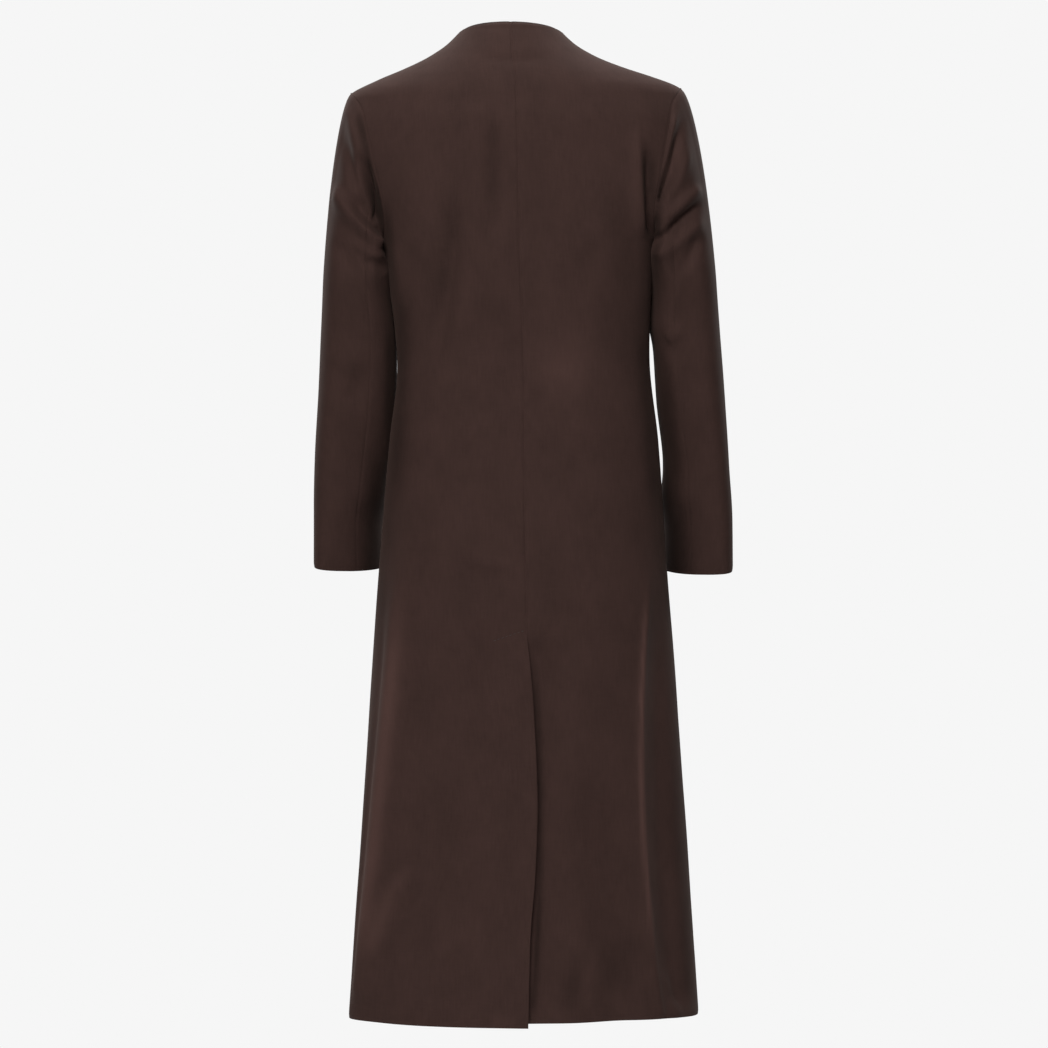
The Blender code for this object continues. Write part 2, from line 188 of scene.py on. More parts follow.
FrontNeck = namedtuple("FrontNeck", "level half_width")
FRONT_NECK = (
    FrontNeck(0.0735, 0.0625),
    FrontNeck(0.0620, 0.0580),
    FrontNeck(0.0400, 0.0520),
    FrontNeck(0.0100, 0.0430),
    FrontNeck(-0.0500, 0.0270),
    FrontNeck(-0.1000, 0.0125),
    FrontNeck(NECK_FRONT_BOTTOM, FRONT_GAP / 2),
)

# Edge of the vent's flap: how far it reaches past the centre, and how far it lifts
VentEdge = namedtuple("VentEdge", "level reach lift")
VENT_EDGE = (
    VentEdge(-0.657, 0.0040, 0.0006),
    VentEdge(-0.745, 0.0120, 0.0034),
    VentEdge(-0.865, 0.0165, 0.0046),
    VentEdge(-0.943, 0.0137, 0.0040),
    VentEdge(-1.025, 0.0070, 0.0034),
    VentEdge(-1.128, 0.0040, 0.0024),
)

# Hem of the right half, which hangs a little higher: turn from the centre back and rise
HemRise = namedtuple("HemRise", "turn rise")
HEM_RISE = (
    HemRise(-20.0, 0.004),
    HemRise(0.0, 0.005),
    HemRise(50.0, 0.007),
    HemRise(90.0, 0.003),
    HemRise(150.0, 0.0),
    HemRise(180.0, 0.0),
)

# Long folds of the skirt: turn from the centre back towards the right, at the top and at the hem
SkirtFold = namedtuple("SkirtFold", "top turn_top turn_hem height spread")
SKIRT_FOLDS = (
    SkirtFold(-0.48, 62.0, 52.0, 0.009, 8.0),
    SkirtFold(-0.60, 52.0, 48.0, -0.022, 20.0),
    SkirtFold(-0.48, -64.0, -70.0, 0.009, 8.0),
    SkirtFold(-0.60, -86.0, -91.0, -0.004, 9.0),
    SkirtFold(-0.55, 120.0, 124.0, 0.009, 10.0),
    SkirtFold(-0.60, 145.0, 148.0, -0.006, 11.0),
    SkirtFold(-0.55, -116.0, -121.0, 0.008, 10.0),
    SkirtFold(-0.60, -140.0, -144.0, -0.006, 11.0),
)

# Rings of a sleeve below the armhole; outer and inner are distances from the coat's middle
Ring = namedtuple("Ring", "level outer inner ahead half_depth pitch")
SLEEVE_RIGHT = (
    Ring(-0.235, 0.2400, 0.1625, 0.014, 0.066, 2.0),
    Ring(-0.275, 0.2420, 0.1580, 0.020, 0.062, 3.0),
    Ring(-0.304, 0.2432, 0.1595, 0.022, 0.060, 5.0),
    Ring(-0.377, 0.2470, 0.1635, 0.030, 0.056, 7.0),
    Ring(-0.450, 0.2525, 0.1720, 0.040, 0.052, 9.0),
    Ring(-0.520, 0.2580, 0.1745, 0.051, 0.049, 9.0),
    Ring(-0.583, 0.2590, 0.1735, 0.061, 0.046, 8.0),
)
SLEEVE_LEFT = (
    Ring(-0.235, 0.2430, 0.1625, 0.014, 0.066, 2.0),
    Ring(-0.275, 0.2465, 0.1572, 0.024, 0.062, 4.0),
    Ring(-0.304, 0.2490, 0.1555, 0.030, 0.060, 5.0),
    Ring(-0.377, 0.2540, 0.1580, 0.038, 0.055, 8.0),
    Ring(-0.450, 0.2575, 0.1650, 0.048, 0.051, 9.0),
    Ring(-0.510, 0.2588, 0.1755, 0.057, 0.048, 9.0),
    Ring(-0.583, 0.2588, 0.1730, 0.068, 0.046, 8.0),
)

# How square a sleeve hangs, where 2 would be an ellipse, and how its lower part turns towards the body
SLEEVE_POWER = 2.7
SLEEVE_ROUNDING = 0.7
SLEEVE_TURN = 0.020
SLEEVE_TURN_FROM = -0.25

# How a sleeve leaves the armhole: lift from the body, and pull of each end of its curve
Leave = namedtuple("Leave", "phi lift start_pull end_pull")
LEAVE = (
    Leave(0.0, 4.0, 0.068, 0.190),
    Leave(90.0, 38.0, 0.060, 0.110),
    Leave(180.0, 112.0, 0.030, 0.030),
)

# Creases, in millimetres as seen from the back: start, middle and end, height of the
# ridge or depth of the trough, reach to the left and right of its run, and the shares over which it
# rises and falls
Crease = namedtuple("Crease", "x_a z_a x_m z_m x_b z_b height left right rise fall")
LEFT_SLEEVE_CREASES = (
    Crease(-211, -14, -200, -60, -186, -96, 3.5, 5, 8, 0.2, 0.3),
    Crease(-194, -78, -178, -122, -163, -168, -20.0, 8, 8, 0.5, 0.12),
    Crease(-216, -46, -207, -92, -194, -140, -5.0, 7, 6, 0.4, 0.3),
    Crease(-208, -124, -189, -155, -163, -179, -8.0, 16, 5, 0.4, 0.1),
    Crease(-226, -112, -204, -152, -163, -190, 9.0, 6, 12, 0.3, 0.1),
    Crease(-206, -178, -190, -197, -166, -204, 3.0, 7, 7, 0.4, 0.2),
    Crease(-192, -207, -178, -213, -166, -219, -3.5, 7, 8, 0.4, 0.2),
    Crease(-226, -180, -212, -206, -203, -240, -3.0, 10, 10, 0.4, 0.4),
    Crease(-196, -300, -205, -330, -218, -350, 3.0, 14, 14, 0.4, 0.4),
    Crease(-190, -330, -200, -365, -215, -390, -3.0, 14, 14, 0.4, 0.4),
)
RIGHT_SLEEVE_CREASES = (
    Crease(190, -24, 180, -66, 168, -104, 3.0, 5, 5, 0.3, 0.2),
    Crease(200, -24, 183, -98, 166, -142, -7.0, 6, 6, 0.35, 0.1),
    Crease(208, -60, 196, -104, 178, -140, 3.0, 7, 6, 0.4, 0.3),
    Crease(224, -118, 202, -136, 170, -166, 4.5, 8, 6, 0.3, 0.2),
    Crease(226, -135, 197, -159, 164, -191, -8.0, 7, 5, 0.35, 0.06),
    Crease(226, -156, 200, -181, 168, -207, 4.5, 9, 6, 0.3, 0.2),
    Crease(222, -174, 209, -198, 197, -228, -5.0, 8, 8, 0.4, 0.4),
    Crease(198, -215, 190, -250, 184, -285, 3.0, 9, 9, 0.4, 0.4),
    Crease(178, -306, 190, -298, 204, -290, 3.5, 8, 8, 0.2, 0.5),
    Crease(183, -312, 194, -400, 197, -480, 3.0, 9, 9, 0.2, 0.4),
)
BACK_CREASES = (
    Crease(-35, -20, -34, -121, -40, -225, -3.0, 11, 11, 0.4, 0.4),
    Crease(-80, -90, -86, -240, -116, -370, -7.0, 10, 34, 0.4, 0.4),
    Crease(-62, -140, -62, -235, -74, -330, 1.5, 12, 10, 0.4, 0.4),
    Crease(-20, -120, -16, -190, -14, -260, 1.5, 9, 9, 0.4, 0.4),
    Crease(60, -40, 74, -120, 86, -210, -2.0, 16, 16, 0.4, 0.4),
    Crease(100, -120, 104, -200, 96, -290, 1.8, 18, 18, 0.4, 0.4),
    Crease(141, -45, 144, -115, 150, -190, 4.0, 5, 14, 0.3, 0.2),
    Crease(155, -62, 157, -120, 160, -184, -9.0, 9, 6, 0.4, 0.15),
    Crease(-152, -150, -150, -200, -147, -262, 2.5, 8, 8, 0.3, 0.4),
    Crease(-54, 34, -9, 31, 44, 34, -0.6, 6, 6, 0.3, 0.3),
    Crease(-94, -563, -44, -573, 2, -583, 2.6, 6, 8, 0.4, 0.3),
    Crease(-84, -588, -38, -596, 2, -608, -1.4, 10, 10, 0.4, 0.4),
    Crease(12, -604, 48, -620, 84, -629, 2.4, 8, 10, 0.4, 0.4),
    Crease(14, -580, 54, -584, 98, -590, -1.4, 11, 11, 0.4, 0.4),
    Crease(-31, -669, -14, -663, 8, -654, -0.7, 3, 3, 0.2, 0.3),
)
SKIRT_CREASES = (
    Crease(157, -575, 146, -860, 170, -1125, 4.0, 6, 5, 0.12, 0.02),
    Crease(177, -590, 172, -860, 194, -1120, -9.0, 13, 17, 0.2, 0.05),
    Crease(-144, -560, -167, -840, -196, -1110, 6.0, 18, 9, 0.15, 0.05),
    Crease(-165, -600, -184, -840, -210, -1110, -5.0, 6, 7, 0.2, 0.05),
    Crease(-118, -640, -128, -850, -148, -1060, -2.5, 14, 16, 0.3, 0.3),
    Crease(-164, -968, -144, -944, -120, -924, 3.0, 10, 10, 0.4, 0.4),
    Crease(-166, -994, -140, -976, -112, -956, -4.2, 11, 11, 0.4, 0.4),
    Crease(70, -1106, 84, -1062, 102, -1014, 3.0, 9, 10, 0.3, 0.4),
    Crease(104, -1110, 118, -1060, 128, -1010, -2.6, 12, 12, 0.3, 0.4),
    Crease(174, -1060, 183, -1093, 191, -1128, 3.5, 6, 8, 0.3, 0.1),
    Crease(-120, -1070, -80, -1040, -52, -1000, 2.0, 12, 12, 0.4, 0.4),
    Crease(-70, -1118, -52, -1040, -50, -960, -1.8, 14, 14, 0.3, 0.4),
    Crease(60, -700, 64, -800, 70, -900, 1.6, 20, 20, 0.4, 0.4),
    Crease(10, -672, 20, -855, 9, -1128, 4.0, 8, 26, 0.3, 0.1),
    Crease(-96, -680, -100, -780, -110, -880, -1.6, 20, 20, 0.4, 0.4),
)
FRONT_CREASES = (
    Crease(-150, -20, -120, -110, -96, -230, -2.0, 13, 13, 0.3, 0.4),
    Crease(-118, -30, -92, -130, -70, -260, 1.8, 14, 14, 0.3, 0.4),
    Crease(148, -24, 116, -120, 92, -240, -2.0, 14, 12, 0.3, 0.4),
    Crease(114, -40, 90, -150, 66, -250, 1.6, 13, 14, 0.3, 0.4),
    Crease(-140, -330, -80, -345, -20, -352, -1.6, 9, 12, 0.3, 0.4),
    Crease(138, -338, 84, -350, 26, -366, -1.6, 12, 9, 0.3, 0.4),
    Crease(-70, -560, -66, -740, -74, -930, 1.8, 20, 18, 0.4, 0.3),
    Crease(78, -540, 74, -720, 82, -900, 1.8, 18, 20, 0.4, 0.3),
    Crease(-130, -960, -104, -1010, -92, -1080, -1.8, 13, 13, 0.4, 0.3),
    Crease(120, -930, 96, -990, 86, -1070, -2.0, 13, 12, 0.4, 0.3),
)
SLEEVE_FRONT_CREASES = (
    Crease(-226, -112, -204, -140, -178, -172, -4.5, 8, 9, 0.3, 0.1),
    Crease(-224, -85, -202, -118, -180, -146, 3.0, 8, 8, 0.3, 0.2),
    Crease(-214, -300, -196, -318, -180, -326, -3.0, 9, 9, 0.4, 0.3),
    Crease(-222, -340, -204, -352, -186, -356, 2.2, 10, 10, 0.4, 0.3),
    Crease(226, -108, 202, -142, 178, -176, -4.5, 9, 8, 0.3, 0.1),
    Crease(222, -80, 200, -112, 180, -142, 3.0, 8, 8, 0.3, 0.2),
    Crease(216, -296, 198, -310, 182, -322, -3.0, 9, 9, 0.4, 0.3),
    Crease(224, -334, 206, -346, 190, -352, 2.2, 10, 10, 0.4, 0.3),
)
# Painted light and shade on the backs' colour, as creases whose height is in hundredths of the way
# from dark to light fibres: painted light where folds, ridges and the upper back catch the light, and painted
# shade where negative, in hollows, beside the sleeves, along the vent's flap and at the neck's edge
BACK_PAINTED_LIGHT_AND_SHADE = (
    Crease(-73, 75, -11, 83, 50, 75, -32, 3, 3, 0.05, 0.05),
    Crease(155, -590, 147, -850, 169, -1090, 65, 3, 3, 0.2, 0.3),
    Crease(-145, -590, -171, -840, -202, -1085, 50, 12, 10, 0.25, 0.2),
    Crease(-32, -20, -32, -105, -36, -215, -15, 10, 10, 0.3, 0.4),
    Crease(-84, -110, -86, -200, -120, -330, -14, 9, 16, 0.4, 0.4),
    Crease(-58, -210, -61, -250, -66, -300, 9, 10, 10, 0.4, 0.4),
    Crease(14, -345, 55, -345, 96, -350, 13, 45, 45, 0.3, 0.3),
    Crease(141, -36, 142, -160, 142, -300, 13, 9, 9, 0.2, 0.3),
    Crease(100, -40, 104, -95, 100, -150, 7, 18, 18, 0.4, 0.4),
    Crease(-128, -936, -158, -980, -186, -1064, 22, 10, 10, 0.3, 0.2),
    Crease(-52, -980, -50, -1020, -46, -1070, 8, 14, 14, 0.4, 0.4),
    Crease(76, -1112, 86, -1074, 98, -1040, 12, 8, 8, 0.3, 0.4),
    Crease(112, -1100, 122, -1060, 130, -1000, -13, 17, 17, 0.4, 0.4),
    Crease(58, -1112, 62, -1080, 70, -1030, -14, 11, 11, 0.3, 0.4),
    Crease(186, -600, 195, -850, 209, -1110, -18, 8, 10, 0.1, 0.05),
    Crease(-169, -590, -175, -660, -183, -740, -18, 8, 8, 0.1, 0.4),
    Crease(20, -200, 50, -290, 60, -400, 6, 45, 45, 0.3, 0.3),
    Crease(-150, -230, -149, -370, -160, -540, -28, 13, 12, 0.2, 0.3),
    Crease(153, -290, 158, -400, 172, -540, -26, 10, 10, 0.2, 0.2),
    Crease(157, -74, 159, -125, 163, -190, -26, 7, 7, 0.3, 0.1),
    Crease(-161, -120, -158, -200, -152, -290, -18, 6, 6, 0.3, 0.3),
    Crease(12, -676, 24, -872, 14, -1120, -24, 5, 3, 0.15, 0.05),
    Crease(-40, -1118, -20, -1120, 2, -1122, 12, 10, 10, 0.3, 0.3),
)
# Painted shade on the sleeves' colour, darker in the hollows by the armholes and on the inner sides beside
# the body, with a painted highlight on a fold of the right sleeve's head; laid out like the backs' marks
SLEEVE_PAINTED_LIGHT_AND_SHADE = (
    Crease(-195, -28, -186, -72, -166, -170, -26, 4, 6, 0.3, 0.1),
    Crease(-179, -108, -171, -146, -163, -182, -32, 9, 9, 0.3, 0.1),
    Crease(-160, -270, -160, -350, -165, -440, -26, 7, 5, 0.3, 0.3),
    Crease(-170, -420, -174, -510, -178, -592, -42, 14, 16, 0.5, 0.02),
    Crease(172, -92, 168, -132, 165, -184, -24, 6, 6, 0.3, 0.1),
    Crease(164, -150, 163, -205, 163, -290, -26, 7, 6, 0.2, 0.3),
    Crease(172, -290, 181, -450, 188, -590, -28, 16, 16, 0.4, 0.02),
    Crease(188, -470, 196, -540, 201, -592, -20, 15, 12, 0.6, 0.02),
    Crease(198, -40, 188, -82, 172, -122, 10, 5, 5, 0.3, 0.3),
    Crease(216, -140, 196, -164, 174, -186, -8, 5, 5, 0.3, 0.3),
)
PAINTED_SHADE_SHARE = 0.01

# How a crease is worked out: steps along it, widths within which it counts, how soon it fades where the
# cloth turns from view, and how far from a seam it has its full height
CREASE_STEPS = 14
CREASE_WIDTHS = 3
CREASE_FACING = 1.6
CREASE_START = 0.006

# Which way a side of the coat looks along Y
BACK_FACE = -1.0
FRONT_FACE = 1.0

# Where a sleeve's cloth puffs out against the body, in millimetres
Puff = namedtuple("Puff", "side level height reach")
PUFFS = (
    Puff(-1, -214, 9, 32),
    Puff(-1, -497, 4, 22),
    Puff(1, -200, 13, 36),
    Puff(1, -288, 2.5, 17),
    Puff(1, -497, 4, 25),
)

# Slight unevenness of the cloth: height, and run across and down
UNEVEN = 0.0008
UNEVEN_ACROSS = 0.05
UNEVEN_DOWN = 0.12

# How unevenly the centre seam draws the cloth in, and over what run
PUCKER = 0.9
PUCKER_RUN = 0.011

# The centre seam drifts to the right on its way down to the vent
DRIFT = 0.004
DRIFT_FROM = -0.42

# Slanted stitching beside the vent's top, in millimetres as seen from the back: its ends, the sides and rings
# of a stitch, how far from the coat the search for the cloth under it starts, and the thread's finish
StitchSpot = namedtuple("StitchSpot", "x z")
STITCH_LINE = (StitchSpot(-30, -668), StitchSpot(3, -657))
STITCH_SIDES = 8
STITCH_RINGS = 6
STITCH_SIGHT = 1.0
THREAD_ROUGHNESS = 0.7

# Cut of each piece before it was sewn: width, length and area in metres and square metres
Cut = namedtuple("Cut", "width length area")

# Patterns of the wool, with the size of one mark across and down: yarns are about 0.5 mm wide, but the grain
# and the weft are drawn about 2 mm wide, as fine as the picture can show, and brushing leaves soft patches
Pattern = namedtuple("Pattern", "across down detail")
GRAIN = Pattern(0.0022, 0.022, 3.0)
WEFT = Pattern(0.018, 0.0024, 2.0)
PATCHES = Pattern(0.045, 0.07, 4.0)
PATTERN_ROUGHNESS = 0.6
WEFT_SHARE = 0.3
PATCH_SHARE = 0.5

# How the patterns' usual range becomes a share of light fibres, and how far the weave stands out
FIBRE_RANGE = {"From Min": 0.3, "From Max": 0.7, "To Min": 0.225, "To Max": 0.485}
WEAVE_RELIEF = {"Strength": 0.25, "Distance": 0.0004}

# Wool scatters light: it has hardly any shine and a faint sheen from its nap
WOOL_FINISH = {
    "Roughness": 0.9,
    "Specular IOR Level": 0.08,
    "Sheen Weight": 0.06,
    "Sheen Roughness": 0.5,
}

# Soft square lights: where they hang, how wide they are, and the studio's setting for their power
Light = namedtuple("Light", "name place width power")
LIGHTS = (
    Light("key light", (-0.5, -3.2, 1.6), 1.3, "key_power"),
    Light("top light", (0.0, 0.5, 1.6), 1.0, "top_power"),
    Light("left side light", (-1.1, 0.9, 0.15), 0.6, "left_power"),
    Light("right side light", (1.1, 0.9, 0.15), 0.6, "right_power"),
)

# Rest of the studio: the floor's edges and finish, the camera's sensor in millimetres, and how far towards
# the coat's far side the backdrop starts and is full
FLOOR_EDGES = 96
FLOOR_ROUGHNESS = 0.8
SENSOR_WIDTH = 36.0
BACKDROP_RANGE = {"From Min": 0.55, "From Max": 0.97}

# Settings in metres and in watts
LengthProperty = partial(bpy.props.FloatProperty, unit="LENGTH", precision=4)
PowerProperty = partial(bpy.props.FloatProperty, unit="POWER")


class CoatSizes(bpy.types.PropertyGroup):
    """Small sizes of the cloth and its sewing."""

    wall: LengthProperty(name="Cloth", description="Thickness of the cloth", default=0.002)
    sleeve_dip: LengthProperty(
        name="Sleeve seam dip", description="How deep a sleeve rolls in at its seams", default=0.0004
    )
    seam_dip: LengthProperty(
        name="Seam dip", description="How deep the cloth rolls in at a seam", default=0.0009
    )
    seam_roll: LengthProperty(
        name="Seam roll", description="How far from a seam the roll reaches", default=0.0017
    )
    edge_dip: LengthProperty(name="Edge dip", description="How deep a turned edge rounds off", default=0.0008)
    edge_roll: LengthProperty(
        name="Edge roll", description="How far a turned edge's rounding reaches", default=0.003
    )
    neck_dip: LengthProperty(name="Neck dip", description="How deep the neck's edge turns in", default=0.0022)
    stitch: LengthProperty(name="Stitch", description="Length of one stitch", default=0.0034)
    stitch_pitch: LengthProperty(
        name="Stitch pitch", description="From one stitch to the next", default=0.0042
    )
    thread: LengthProperty(name="Thread", description="Thickness of the thread", default=0.0007)


class CoatColours(bpy.types.PropertyGroup):
    """Colours of the cloth and the studio, as sRGB hex numbers."""

    wool: bpy.props.StringProperty(
        name="Dark fibres", description="Colour of the wool's dark fibres", default="#1d1310"
    )
    wool_light: bpy.props.StringProperty(
        name="Light fibres", description="Colour of the wool's light fibres", default="#43302c"
    )
    sheen: bpy.props.StringProperty(name="Sheen", description="Colour of the nap's sheen", default="#8a7468")
    thread: bpy.props.StringProperty(name="Thread", description="Colour of the thread", default="#1c1210")
    floor: bpy.props.StringProperty(name="Floor", description="Colour of the floor", default="#f0f0f0")
    room: bpy.props.StringProperty(
        name="Room", description="Colour of the room behind the viewer", default="#4c4c4c"
    )
    background: bpy.props.StringProperty(
        name="Background", description="Colour behind the coat", default="#f6f6f6"
    )


class CoatStage(bpy.types.PropertyGroup):
    """Sizes of the studio and power of its lights."""

    floor_level: LengthProperty(
        name="Floor", description="Level of the floor below the shoulders", default=-1.45
    )
    floor_radius: LengthProperty(name="Floor radius", description="Radius of the floor", default=1.6)
    camera_distance: LengthProperty(name="Camera distance", description="Distance of the camera", default=5.0)
    camera_lens: bpy.props.FloatProperty(
        name="Lens", description="Focal length in millimetres", default=140.2, subtype="DISTANCE_CAMERA"
    )
    camera_across: LengthProperty(
        name="Camera across", description="Camera's place to the right", default=0.0049
    )
    camera_level: LengthProperty(name="Camera level", description="Camera's level", default=-0.529)
    key_power: PowerProperty(name="Key light", description="Power of the main soft light", default=205.0)
    top_power: PowerProperty(name="Top light", description="Power of the soft light above", default=55.0)
    left_power: PowerProperty(
        name="Left light", description="Power of the soft light on the left", default=12.0
    )
    right_power: PowerProperty(
        name="Right light", description="Power of the soft light on the right", default=12.0
    )


def linear(colour):
    """A linear colour from an sRGB hex number."""
    shares = [int(colour[i : i + 2], 16) / 255 for i in (1, 3, 5)]
    return [s / 12.92 if s <= 0.04045 else ((s + 0.055) / 1.055) ** 2.4 for s in shares] + [1.0]


def hermite(t, start, start_pull, end, end_pull):
    """A cubic from start to end with the given pull at each end."""
    rest = 1 - t
    return (
        start * (rest * rest * (1 + 2 * t))
        + start_pull * (t * rest * rest)
        + end * (t * t * (3 - 2 * t))
        - end_pull * (t * t * rest)
    )


def ease(share):
    """Zero to one with level ends."""
    share = np.clip(share, 0.0, 1.0)
    return share * share * (3 - 2 * share)


class Curve:
    """A smooth line through one column of a table that never overshoots its rows."""

    def __init__(self, rows, key, column):
        ordered = sorted(rows, key=lambda row: getattr(row, key))
        self.at = np.array([getattr(row, key) for row in ordered])
        self.value = np.array([getattr(row, column) for row in ordered])
        rates = np.diff(self.value) / np.diff(self.at)
        product = np.maximum(rates[:-1] * rates[1:], 0.0)
        total = rates[:-1] + rates[1:]
        inner = 2 * product / np.where(product > 0, total, 1.0)
        self.slope = np.concatenate((rates[:1], inner, rates[-1:]))

    def __call__(self, at):
        at = np.clip(at, self.at[0], self.at[-1])
        i = np.clip(np.searchsorted(self.at, at, side="right") - 1, 0, len(self.at) - 2)
        span = self.at[i + 1] - self.at[i]
        share = (at - self.at[i]) / span
        start_pull, end_pull = self.slope[i] * span, self.slope[i + 1] * span
        return hermite(share, self.value[i], start_pull, self.value[i + 1], end_pull)


BODY_CURVES = [Curve(BODY, "level", name) for name in Section._fields[1:]]
SHIFT = Curve(POSE, "level", "shift")
TILT = Curve(POSE, "level", "tilt")
FRONT_NECK_WIDTH = Curve(FRONT_NECK, "level", "half_width")
RIGHT_HEM_RISE = Curve(HEM_RISE, "turn", "rise")
FLAP_REACH = Curve(VENT_EDGE, "level", "reach")
FLAP_LIFT = Curve(VENT_EDGE, "level", "lift")
LEAVE_CURVES = [Curve(LEAVE, "phi", name) for name in Leave._fields[1:]]
SLEEVE_RINGS = {1: SLEEVE_RIGHT, -1: SLEEVE_LEFT}
SLEEVE_CURVES = {
    side: [Curve(rings, "level", name) for name in Ring._fields[1:]] for side, rings in SLEEVE_RINGS.items()
}


def unit(vectors):
    """The vectors with a length of one."""
    length = np.linalg.norm(vectors, axis=-1, keepdims=True)
    return vectors / np.maximum(length, TINY_LENGTH)


def posed(points):
    """Leans points of the upright coat as the coat is worn."""
    x, y, level = np.moveaxis(points, -1, 0)
    return np.stack((x + SHIFT(level), y, level + TILT(level) * x), axis=-1)


def skirt_fold(turn, level):
    """How far the skirt's long folds move its surface out."""
    moved = 0.0
    for fold in SKIRT_FOLDS:
        grown = np.clip((fold.top - level) / (fold.top - HEM), 0.0, 1.0)
        middle = fold.turn_top + (fold.turn_hem - fold.turn_top) * grown
        moved = moved + fold.height * ease(grown) * np.exp(-(((turn - middle) / fold.spread) ** 2))
    return moved


def body_point(turn, level):
    """Points of the body's outer face; turn is in degrees from the centre back towards the right."""
    half_width, back, front, power = (curve(level) for curve in BODY_CURVES)
    across = np.sin(np.radians(turn))
    along = np.cos(np.radians(turn))
    depth = np.where(along > 0, back, front)
    radius = (np.abs(across / half_width) ** power + np.abs(along / depth) ** power) ** (-1 / power)
    radius = radius + skirt_fold(turn, level)
    return np.stack(np.broadcast_arrays(radius * across, -radius * along, level), axis=-1)


def body_normal(turn, level):
    """The outward direction of the body's face."""
    around = body_point(turn + TURN_STEP, level) - body_point(turn - TURN_STEP, level)
    upward = body_point(turn, level + LEVEL_STEP) - body_point(turn, level - LEVEL_STEP)
    return unit(np.cross(around, upward))


def degrees_across(distance, turn, level):
    """The turn that covers a distance along the body's face."""
    return np.degrees(distance / np.linalg.norm(body_point(turn, level)[..., :2], axis=-1))


def armhole_spot(phi):
    """Turn and level of the armhole's edge; phi runs from the shoulder tip by the back to the underarm."""
    upright = np.cos(np.radians(phi))
    sideways = np.sin(np.radians(phi))
    is_back = sideways >= 0
    rounded = 2 / ARMHOLE_POWER
    level = ARMHOLE_MID + ARMHOLE_HALF * np.sign(upright) * np.abs(upright) ** rounded
    ahead = np.where(is_back, ARMHOLE_BACK, ARMHOLE_FRONT) * np.abs(sideways) ** rounded
    half_width, back, front, power = (curve(level) for curve in BODY_CURVES)
    depth = np.where(is_back, back, front)
    out = half_width * (1 - (ahead / depth) ** power) ** (1 / power)
    return np.degrees(np.arctan2(out, np.where(is_back, ahead, -ahead))), level


def armhole_walk(shares, is_back):
    """Turn and level at even steps along the armhole from the underarm to the shoulder tip."""
    phi = np.linspace(180.0, 0.0, ARMHOLE_STEPS)
    turn, level = armhole_spot(phi if is_back else -phi)
    steps = np.linalg.norm(np.diff(body_point(turn, level), axis=0), axis=-1)
    so_far = np.concatenate(([0.0], np.cumsum(steps)))
    at = shares * so_far[-1]
    return np.interp(at, so_far, turn), np.interp(at, so_far, level)


def crowded(share):
    """Spreads even columns so that they crowd towards both ends."""
    return share - CROWDING * np.sin(2 * np.pi * share) / (2 * np.pi)


def panel_spots(share, rise, is_back, start_of):
    """Turn and level over a panel; share runs from its inner edge to its seam, rise from hem to neck."""
    stations = (0.0, ARMHOLE_FROM, ARMHOLE_TO, 1.0)
    level = np.interp(rise, stations, (HEM, UNDERARM, SHOULDER_TIP, NECK_POINT))
    in_armhole = (rise > ARMHOLE_FROM) & (rise < ARMHOLE_TO)
    along_hole = np.clip((rise - ARMHOLE_FROM) / (ARMHOLE_TO - ARMHOLE_FROM), 0.0, 1.0)
    hole_turn, hole_level = armhole_walk(along_hole, is_back)
    edge = np.where(in_armhole, hole_turn, SIDE_SEAM)
    edge_level = np.where(in_armhole, hole_level, level)
    level = level + (edge_level - level) * share * share
    start = start_of(level)
    return start + (edge - start) * share, level


def neck_lift(turn, level):
    """How far a row of the back bends up to follow the neckline."""
    share = np.maximum(level - SHOULDER_TIP, 0.0) / (NECK_POINT - SHOULDER_TIP)
    return share * NECK_BACK_RISE * np.maximum(np.cos(np.radians(turn)), 0.0) ** NECK_RISE_POWER


def hem_lift(side, turn, level):
    """How far a row of the skirt bends up to follow the hem of the right half."""
    share = ease((VENT_TOP - level) / (VENT_TOP - HEM))
    return share * RIGHT_HEM_RISE(turn) if side > 0 else 0.0 * turn


def centre_drift(level):
    """How far right of the middle the centre seam lies."""
    return DRIFT * ease((DRIFT_FROM - level) / (DRIFT_FROM - VENT_TOP))


def centre_turn(side, level):
    """Turn of a back's centre edge, which on the left is the flap's edge below the vent's top."""
    reach = centre_drift(level)
    if side < 0:
        reach = -np.where(level < VENT_TOP, FLAP_REACH(level), reach)
    return degrees_across(reach, 0.0, level)


def back_surface(side, sizes, across, rise):
    """Upright points of one back over its grid."""
    beyond = ALLOWANCE * np.clip((across - OUTER_SEAM) / (1 - OUTER_SEAM), 0.0, 1.0)
    across = np.minimum(across / OUTER_SEAM, 1.0)
    split = UNDERLAP_COLUMNS / (BACK_GRID[0] - ALLOWANCE_COLUMNS) if side > 0 else 0.0
    share = crowded(np.clip((across - split) / (1 - split), 0.0, 1.0))
    turn, level = panel_spots(share, rise, True, partial(centre_turn, side))
    if side > 0:
        under = VENT_UNDERLAP * np.clip(across / split - 1, -1.0, 0.0)
        turn = turn + degrees_across(under, 0.0, level)
    turn = turn + degrees_across(beyond, turn, level)
    height = level + neck_lift(turn, level) + hem_lift(side, turn, level)
    points = body_point(side * turn, height)
    normals = body_normal(side * turn, height)
    distance = np.sign(turn) * np.linalg.norm(points - body_point(0.0 * turn, height), axis=-1)
    if side < 0:
        lapping = ease((VENT_TOP - level) / VENT_STEP)
        past = distance + FLAP_REACH(level)
        moved = lapping * FLAP_LIFT(level) * (1 - ease(past / FLAP_EASE))
    else:
        under = ease(-distance / UNDERLAP_RUN) * (1 - ease((level - VENT_TOP) / VENT_FADE))
        lapping = np.maximum(under, ease((VENT_TOP - level) / VENT_SINK_RUN))
        depth = sizes.wall + VENT_CLEARANCE + VENT_SINK * ease((VENT_TOP - level) / VENT_EASE)
        moved = -lapping * depth * (1 - ease((distance - VENT_FLAT) / VENT_EASE))
    return points + normals * moved[..., None]


